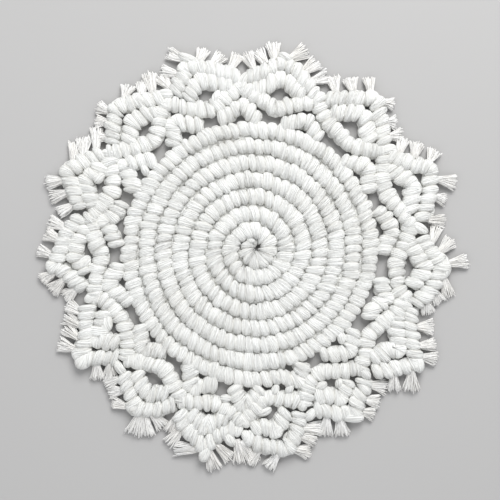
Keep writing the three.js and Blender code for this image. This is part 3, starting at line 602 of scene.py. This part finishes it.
def border_row(index, kind):
    """One row of a scallop, with the low cords that cross under it. The lower row runs from join to join."""
    corners = SCALLOPS[index][kind]
    if kind == "lower":
        corners = [SCALLOPS[index - 1]["join"], *corners, SCALLOPS[index]["join"]]
    line = rounded(corners, ROWS[kind]["overrun"])
    line = np.column_stack([line, np.full(len(line), ROWS[kind]["width"])])
    place = list(ROWS).index(kind)
    return joined([
        knotted_row(line, BORDER_KNOTS, [index, SEEDS["row"] + place], slants=ROWS[kind]["slants"]),
        knotted_row(line, CROSSING_CORDS, [index, SEEDS["crossing"] + place]),
    ])


def diamond(index):
    """The three rows of a scallop round its eyelet, and its lone knots."""
    rows = [border_row(index, kind) for kind in ("lower", "eye", "rim")]
    for place, sizes in enumerate(LONE_KNOTS.get(index + 1, ())):
        rows.append(lone_knot(*sizes, BORDER_KNOTS, [index, SEEDS["lone"] + place]))
    return joined(rows)


def matted_core(brush, way, length):
    """The core of a tuft, one closed tube along it: an oval that fills its share of the brush's section."""
    sides = FRINGE["core_sides"]
    around = 2 * np.pi * np.arange(sides) / sides
    x, z = FRINGE["core"] * np.cos(around), FRINGE["core"] * np.sin(around)
    flat, lift = brush(x[:, None], z[:, None], length)
    grid = np.concatenate([flat, lift[..., None]], axis=-1).swapaxes(0, 1)[None]
    gone = length * way
    stretches = np.stack([gone[:-1], gone[1:]], axis=-1)[None]
    return tubes(grid, np.zeros(grid.shape[:-1]), 4 * FRINGE["end_half_width"], stretches)


def loose_threads(brush, way, length, draw):
    """The threads of a tuft, each a thin closed tube. Each clump of them has its own x and lies near the
    brush's upper or lower side, and each thread swings by sines of w and ends a little before or past the
    edge."""
    upper, lower, each = (FRINGE[key] for key in ("upper_clumps", "lower_clumps", "threads_in_clump"))
    clumps, count, spread = upper + lower, (upper + lower) * each, THREAD_SPREADS
    low_x = FRINGE["lower_reach"]
    clump_x = np.concatenate([np.linspace(-1, 1, upper), np.linspace(-low_x, low_x, lower)])
    clump_x = clump_x + spread["clump_across"] * draw.standard_normal(clumps)
    clump_z = np.sqrt(np.clip(1 - clump_x**2, 0, 1)) * draw.uniform(*FRINGE["clump_height"], clumps)
    clump_z[upper:] *= -1
    x = np.repeat(clump_x, each)[:, None] + spread["across"] * draw.standard_normal((count, 1)) * way
    z = np.repeat(clump_z, each)[:, None] + spread["height"] * draw.standard_normal((count, 1))
    reach = 1 + spread["clump_length"] * np.repeat(draw.standard_normal(clumps), each)
    reach = length * (reach + spread["length"] * draw.standard_normal(count))
    swing = spread["swing"] * draw.standard_normal((count, 1)) * np.sin(np.pi * way)
    swing = swing + spread["wave"] * draw.standard_normal((count, 1)) * np.sin(2 * np.pi * way)
    rise = spread["rise"] * draw.standard_normal((count, 1)) * np.sin(np.pi * way)
    line, lift = brush(x, z, reach[:, None], swing, rise)

    along = np.gradient(line, axis=1)
    along /= np.linalg.norm(along, axis=2, keepdims=True)
    square = np.stack([-along[..., 1], along[..., 0]], axis=-1)
    sides = FRINGE["thread_sides"]
    around = 2 * np.pi * np.arange(sides) / sides
    thick = FRINGE["thread"] / 2 * (1 + spread["thickness"] * draw.standard_normal(count))[:, None, None]
    flat = line[:, :, None] + square[:, :, None] * (thick * np.cos(around))[..., None]
    grid = np.concatenate([flat, (lift[:, :, None] + thick * np.sin(around))[..., None]], axis=-1)
    gone = reach[:, None] * way + draw.uniform(0, FRINGE["pattern"], count)[:, None]
    stretches = np.stack([gone[:, :-1], gone[:, 1:]], axis=-1)
    return tubes(grid, np.zeros(grid.shape[:-1]), np.pi * FRINGE["thread"], stretches)


def tuft(root, direction, length, seed):
    """One tuft of cut cord, a brush of threads round a matted core. At w from 0 at the root to 1 at the
    edge its section is an oval: the half width goes from the root's to the end's as w to the power of
    opening, and the half height and the height of the middle go evenly. The point at x and z of the unit
    circle lies length * w * cos(edge turn * x * w) out along the direction, so that the edge is rounded,
    and x half widths beside it and z half heights above the middle."""
    draw = np.random.default_rng(seed)
    along = np.array(direction)
    across = np.array([-along[1], along[0]])
    way = np.array([0, 0.02, 0.2, 0.4, 0.6, 0.8, 0.98, 1])
    opened = way ** FRINGE["opening"]
    half_width = FRINGE["root_half_width"] * (1 - opened)
    half_width = half_width + draw.uniform(*FRINGE["fullness"]) * FRINGE["end_half_width"] * opened
    half_height = FRINGE["root_half_height"] * (1 - way) + FRINGE["end_half_height"] * way
    middle = FRINGE["root_middle"] * (1 - way) + FRINGE["end_middle"] * way

    def brush(x, z, reach, swing=0.0, rise=0.0):
        """Points of the brush, in plan and in height, for all w, moved aside by the swing and up by the
        rise."""
        out = reach * way * np.cos(FRINGE["edge_turn"] * x * way)
        flat = np.array(root) + out[..., None] * along + (half_width * x + swing)[..., None] * across
        return flat, middle + half_height * z + rise

    core = matted_core(brush, way, draw.uniform(*FRINGE["core_length"]) * length)
    whole = joined([core, loose_threads(brush, way, length, draw)])
    # The strands of a wrap run round its row, but a thread's run along it, so its pattern is turned.
    for key in ("quad_map", "fan_map"):
        whole[key] = whole[key][:, ::-1]
    return whole


def fringe(index):
    """All tufts along the two legs of a scallop's rim. A tuft's place is its share of the way along the
    straight leg, its root a little inside the row's outer edge there, also where the row lies inside the
    straight leg, and its direction is square to the leg, turned by its lean."""
    scallop = SCALLOPS[index]
    rim = np.array(scallop["rim"], float)
    row = rounded(rim, ROWS["rim"]["overrun"])
    foot, tip, end = rim[0], rim[np.argmax(np.linalg.norm(rim, axis=1))], rim[-1]
    legs = ((foot, tip, scallop["fringe_from"]), (tip, end, scallop["fringe_to"]))
    tufts = []
    for leg, (start, stop, table) in enumerate(legs):
        run = (stop - start) / np.linalg.norm(stop - start)
        square = np.array([-run[1], run[0]])
        for place, (share, lean, length) in enumerate(table):
            turn = np.radians(lean)
            direction = square * np.cos(turn) - run * np.sin(turn)
            straight = start + share * (stop - start)
            nearest = row[np.argmin(np.linalg.norm(row - straight, axis=1))]
            inside = max(0, (straight - nearest) @ square)
            root = straight + (FRINGE["root_offset"] - inside) * square
            length = FRINGE["longer"] * length + FRINGE["hidden"] + inside
            tufts.append(tuft(root, direction, length, [index, leg, place]))
    return joined(tufts)


def piece(name, surface, material, *nodes):
    """The surface as a mesh in metres, smooth, with its pattern map and the shade painted in its creases and
    low on its sides. It stands for the CAD nodes."""
    mesh = bpy.data.meshes.new(name)
    mesh.from_pydata(surface["points"] * MM, [], surface["quads"].tolist() + surface["fans"].tolist())
    mesh.polygons.foreach_set("use_smooth", np.ones(len(mesh.polygons), bool))
    pattern = np.concatenate([surface["quad_map"], surface["fan_map"]])
    mesh.uv_layers.new(name="strand").data.foreach_set("uv", pattern.ravel())
    mesh.attributes.new("painted_shade", "FLOAT", "POINT").data.foreach_set("value", surface["painted_shade"])
    mesh.materials.append(material)
    made = bpy.data.objects.new(name, mesh)
    bpy.context.scene.collection.objects.link(made)
    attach(made, "root")
    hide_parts(*nodes)


def shade(code):
    """An sRGB hex colour as linear red, green, blue and alpha, by the curve of the sRGB standard."""
    srgb = np.array([int(code[k : k + 2], 16) for k in (1, 3, 5)]) / 255
    linear = np.where(srgb <= 0.04045, srgb / 12.92, ((srgb + 0.055) / 1.055) ** 2.4)
    return (*linear, 1)


def add(material, kind, values=(), links=(), **settings):
    """Adds a node of that kind to the material, with settings of its own, values on its sockets and links
    that feed them."""
    made = material.node_tree.nodes.new("ShaderNode" + kind)
    for key, value in settings.items():
        setattr(made, key, value)
    for key, value in dict(values).items():
        made.inputs[key].default_value = value
    for key, source in dict(links).items():
        material.node_tree.links.new(source, made.inputs[key])
    return made


def cotton(name, bright, deep, strand_mm, bump_mm, groove_shade):
    """Natural cotton, brushed and only loosely twisted, so matt, with a faint sheen from the fibres that
    stand up. The strands show as soft lines along the wrap, and the finer fibres as a grain on them. Shade
    is painted into the cord's colour as a creamier grey: in its creases and low on its sides, and, by the
    share given for it, in the grooves between its strands."""
    material = bpy.data.materials.new(name)
    material.use_nodes = True
    material.node_tree.nodes.clear()
    strand_map = add(material, "UVMap", uv_map="strand").outputs["UV"]
    place = add(material, "TexCoord").outputs["Object"]

    # The strands are rounded bands side by side across the wrap, and the fibres a finer grain along them. The
    # map is in millimetres, the bands of a wave of scale 1 are 0.314 units apart and a noise of scale 1 has
    # features of about 1 unit, so a strand keeps its shade for about 50 mm, a fibre for about 8 mm, and there
    # are 1.6 fibres in the width of a strand. The real ones are finer, and these are as coarse as they need
    # to be to show.
    wave_unit, fibres_in_strand = 0.314, 1.6
    strand_along, fibre_along = 0.02, 0.13
    bands = add(
        material, "Mapping", {"Scale": (strand_along, wave_unit / strand_mm, 1)}, {"Vector": strand_map}
    ).outputs["Vector"]
    strand = add(
        material, "TexWave", {"Scale": 1.0, "Distortion": 9.0, "Detail": 2.0, "Detail Scale": 2.0},
        {"Vector": bands}, wave_type="BANDS", bands_direction="Y", wave_profile="SIN",
    ).outputs["Fac"]
    grain = add(
        material, "Mapping", {"Scale": (fibre_along, fibres_in_strand / strand_mm, 1)}, {"Vector": strand_map}
    ).outputs["Vector"]
    fibre = add(
        material, "TexNoise", {"Scale": 1.0, "Detail": 3.0, "Roughness": 0.65}, {"Vector": grain},
        noise_dimensions="2D",
    ).outputs["Fac"]
    fibre_relief = 2.5
    relief = add(
        material, "Math", {1: fibre_relief}, {0: fibre, 2: strand}, operation="MULTIPLY_ADD"
    ).outputs["Value"]
    bump = add(
        material, "Bump", {"Strength": 1.0, "Distance": bump_mm * MM}, {"Height": relief}
    ).outputs["Normal"]

    # The cord's shade wanders in clouds of about 18 mm, 55 to the metre, and each strand has its own.
    cloud_share, painted_shade_share = 0.9, 0.75
    cloud = add(
        material, "TexNoise", {"Scale": 55.0, "Detail": 2.0}, {"Vector": place}, noise_dimensions="3D"
    ).outputs["Fac"]
    tone = add(
        material, "Math", {1: cloud_share}, {0: cloud, 2: fibre}, operation="MULTIPLY_ADD"
    ).outputs["Value"]
    tone = add(
        material, "MapRange", {"From Min": 0.6, "From Max": 1.2, "To Min": 0.45, "To Max": 0.0},
        {"Value": tone},
    ).outputs["Result"]
    # Shade is painted into the colour, towards the deep one: by the share given for it in the dips between
    # the strands' bands, and by the mesh's crease values in the creases and low on the row. The random tone
    # of the clouds and fibres is added to it.
    between = add(
        material, "MapRange", {"To Min": groove_shade, "To Max": 0.0}, {"Value": strand}
    ).outputs["Result"]
    painted_shade = add(material, "Attribute", attribute_name="painted_shade").outputs["Fac"]
    depth = add(
        material, "Math", {1: painted_shade_share}, {0: painted_shade, 2: tone}, operation="MULTIPLY_ADD"
    ).outputs["Value"]
    depth = add(
        material, "Math", {}, {0: depth, 1: between}, operation="ADD", use_clamp=True
    ).outputs["Value"]
    colour = add(
        material, "Mix", {"A": shade(bright), "B": shade(deep)}, {"Factor": depth}, data_type="RGBA"
    ).outputs["Result"]
    shader = add(
        material, "BsdfPrincipled",
        {"Roughness": 0.92, "Specular IOR Level": 0.25, "Sheen Weight": 0.2, "Sheen Roughness": 0.6},
        {"Base Color": colour, "Normal": bump},
    )
    add(material, "OutputMaterial", {}, {"Surface": shader.outputs["BSDF"]})
    return material


def painted_board(light, dark):
    """A smooth board painted matt for the studio floor, a pale grey with the faintest clouds in it, three to
    the metre."""
    material = bpy.data.materials.new("painted_board")
    material.use_nodes = True
    material.node_tree.nodes.clear()
    place = add(material, "TexCoord").outputs["Object"]
    cloud = add(material, "TexNoise", {"Scale": 3.0, "Detail": 3.0}, {"Vector": place}).outputs["Fac"]
    colour = add(
        material, "Mix", {"A": shade(dark), "B": shade(light)}, {"Factor": cloud}, data_type="RGBA"
    ).outputs["Result"]
    shader = add(
        material, "BsdfPrincipled", {"Roughness": 0.7, "Specular IOR Level": 0.3}, {"Base Color": colour}
    )
    add(material, "OutputMaterial", {}, {"Surface": shader.outputs["BSDF"]})
    return material


def studio():
    """A pale floor under the mat, a large soft lamp high on the far side, a weaker one on the near side and
    even light from all round, and the camera straight above, as in the photograph."""
    half, below = 12, -0.0002
    corners = [(-half, -half, below), (half, -half, below), (half, half, below), (-half, half, below)]
    mesh = bpy.data.meshes.new("floor")
    mesh.from_pydata(corners, [], [(0, 1, 2, 3)])
    mesh.materials.append(painted_board(light="#B3B2B1", dark="#AFAEAD"))
    floor = bpy.data.objects.new("floor", mesh)
    bpy.context.scene.collection.objects.link(floor)

    for name, place, size, power in (
        ("main_lamp", (0.25, 0.9, 1.1), 0.9, 19.5),
        ("fill_lamp", (-0.5, -0.9, 1.3), 1.2, 4.0),
    ):
        lamp = bpy.data.lights.new(name, "AREA")
        lamp.shape = "DISK"
        lamp.size = size
        lamp.energy = power
        holder = bpy.data.objects.new(name, lamp)
        holder.location = place
        holder.rotation_mode = "QUATERNION"
        holder.rotation_quaternion = (-holder.location).to_track_quat("-Z", "Y")
        bpy.context.scene.collection.objects.link(holder)

    world = bpy.data.worlds.new("studio")
    world.use_nodes = True
    world.node_tree.nodes["Background"].inputs["Color"].default_value = shade("#F3F5F8")
    world.node_tree.nodes["Background"].inputs["Strength"].default_value = 0.6
    bpy.context.scene.world = world
    bpy.context.scene.view_settings.view_transform = "Standard"

    # The photograph spans 345 mm at a level a little below the rows' tops, round a point beside the origin.
    lens, span, level, middle = 85, 0.345, 0.008, (-0.0014, 0.0062)
    eye = bpy.data.cameras.new("camera")
    eye.lens = lens
    camera = bpy.data.objects.new("camera", eye)
    camera.location = (*middle, level + span * lens / eye.sensor_width)
    bpy.context.scene.collection.objects.link(camera)
    bpy.context.scene.camera = camera


# The deep colours serve both the random creamier tone and the painted shade: in the cord's creases and low
# sides, and between the strands of both.
cord = cotton("cotton_cord", "#FAFBF9", "#D4D2CB", strand_mm=1.1, bump_mm=0.36, groove_shade=0.3)
cut_ends = cotton("cotton_threads", "#FEFEFD", "#E6E1D8", strand_mm=0.7, bump_mm=0.14, groove_shade=0.25)

piece("knotted_centre", centre(), cord, "centre_spiral")
for index in range(len(SCALLOPS)):
    number = f"{index + 1:02d}"
    piece("knotted_chevron_" + number, border_row(index, "chevron"), cord, "chevron_" + number)
    piece("knotted_diamond_" + number, diamond(index), cord, "diamond_" + number)
    piece("cut_fringe_" + number, fringe(index), cut_ends, "fringe_" + number)

studio()
